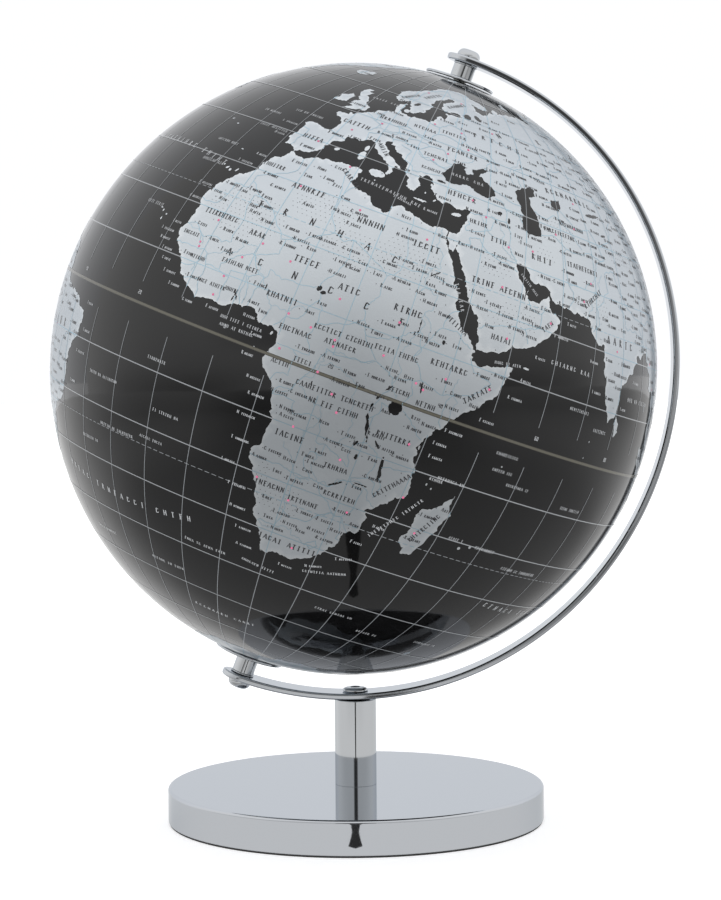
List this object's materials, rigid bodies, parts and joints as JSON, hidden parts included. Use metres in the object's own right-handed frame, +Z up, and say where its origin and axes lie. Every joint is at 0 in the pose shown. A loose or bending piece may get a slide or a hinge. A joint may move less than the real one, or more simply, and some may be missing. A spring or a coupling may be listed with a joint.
{
  "type": "desktop globe on stand",
  "caption": "Printed ball that spins on a tilted axis between the ends of a bent flat chromed arm, on a short round post and a round weighted base.",
  "frame": {"origin": "centre of the foot ring's underside, on the table", "axes": "+Z up along the post; the arm lies in the XZ plane and curves round the ball on the +X side, so the ball's north pole leans towards +X"},
  "size_m": [0.2595, 0.25, 0.3197],
  "materials": {
    "chrome": "polished chrome plating",
    "printed_ball": "gloss black sea with silver land",
    "inner_plastic": "moulded",
    "bush_nylon": "turned nylon",
    "foot_rubber": "matt",
    "fibreboard": "dark fibreboard",
    "zinc_screws": "zinc plated",
    "plug_steel": "turned",
    "ballast_iron": "rough cast"
  },
  "bodies": {
    "stand": {"foot_ring": "foot_rubber", "base_shell": "chrome", "base_cover": "fibreboard", "cover_screws": "zinc_screws", "base_ballast": "ballast_iron", "base_bolt": "zinc_screws", "base_bolt_washer": "zinc_screws", "base_lock_washer": "zinc_screws", "post_foot_insert": "plug_steel", "post_tube": "chrome", "post_top_insert": "plug_steel", "arm_screw": "chrome", "meridian_arm": "chrome", "pole_screws": "chrome", "north_washer": "chrome", "south_washer": "chrome", "north_spacer": "chrome", "south_spacer": "chrome", "north_pole_disc": "chrome", "south_pole_disc": "chrome", "nut_washers": "zinc_screws", "pole_nuts": "zinc_screws"},
    "globe": {"north_hemisphere": "printed_ball", "south_hemisphere": "printed_ball", "joint_ring": "inner_plastic", "north_bush": "bush_nylon", "south_bush": "bush_nylon"}
  },
  "joints": [
    {"name": "globe_spin", "type": "hinge", "parent": "stand", "child": "globe", "pos_m": [0, 0, 0.187], "axis": [0.3518, 0, 0.9361], "continuous": true}
  ]
}
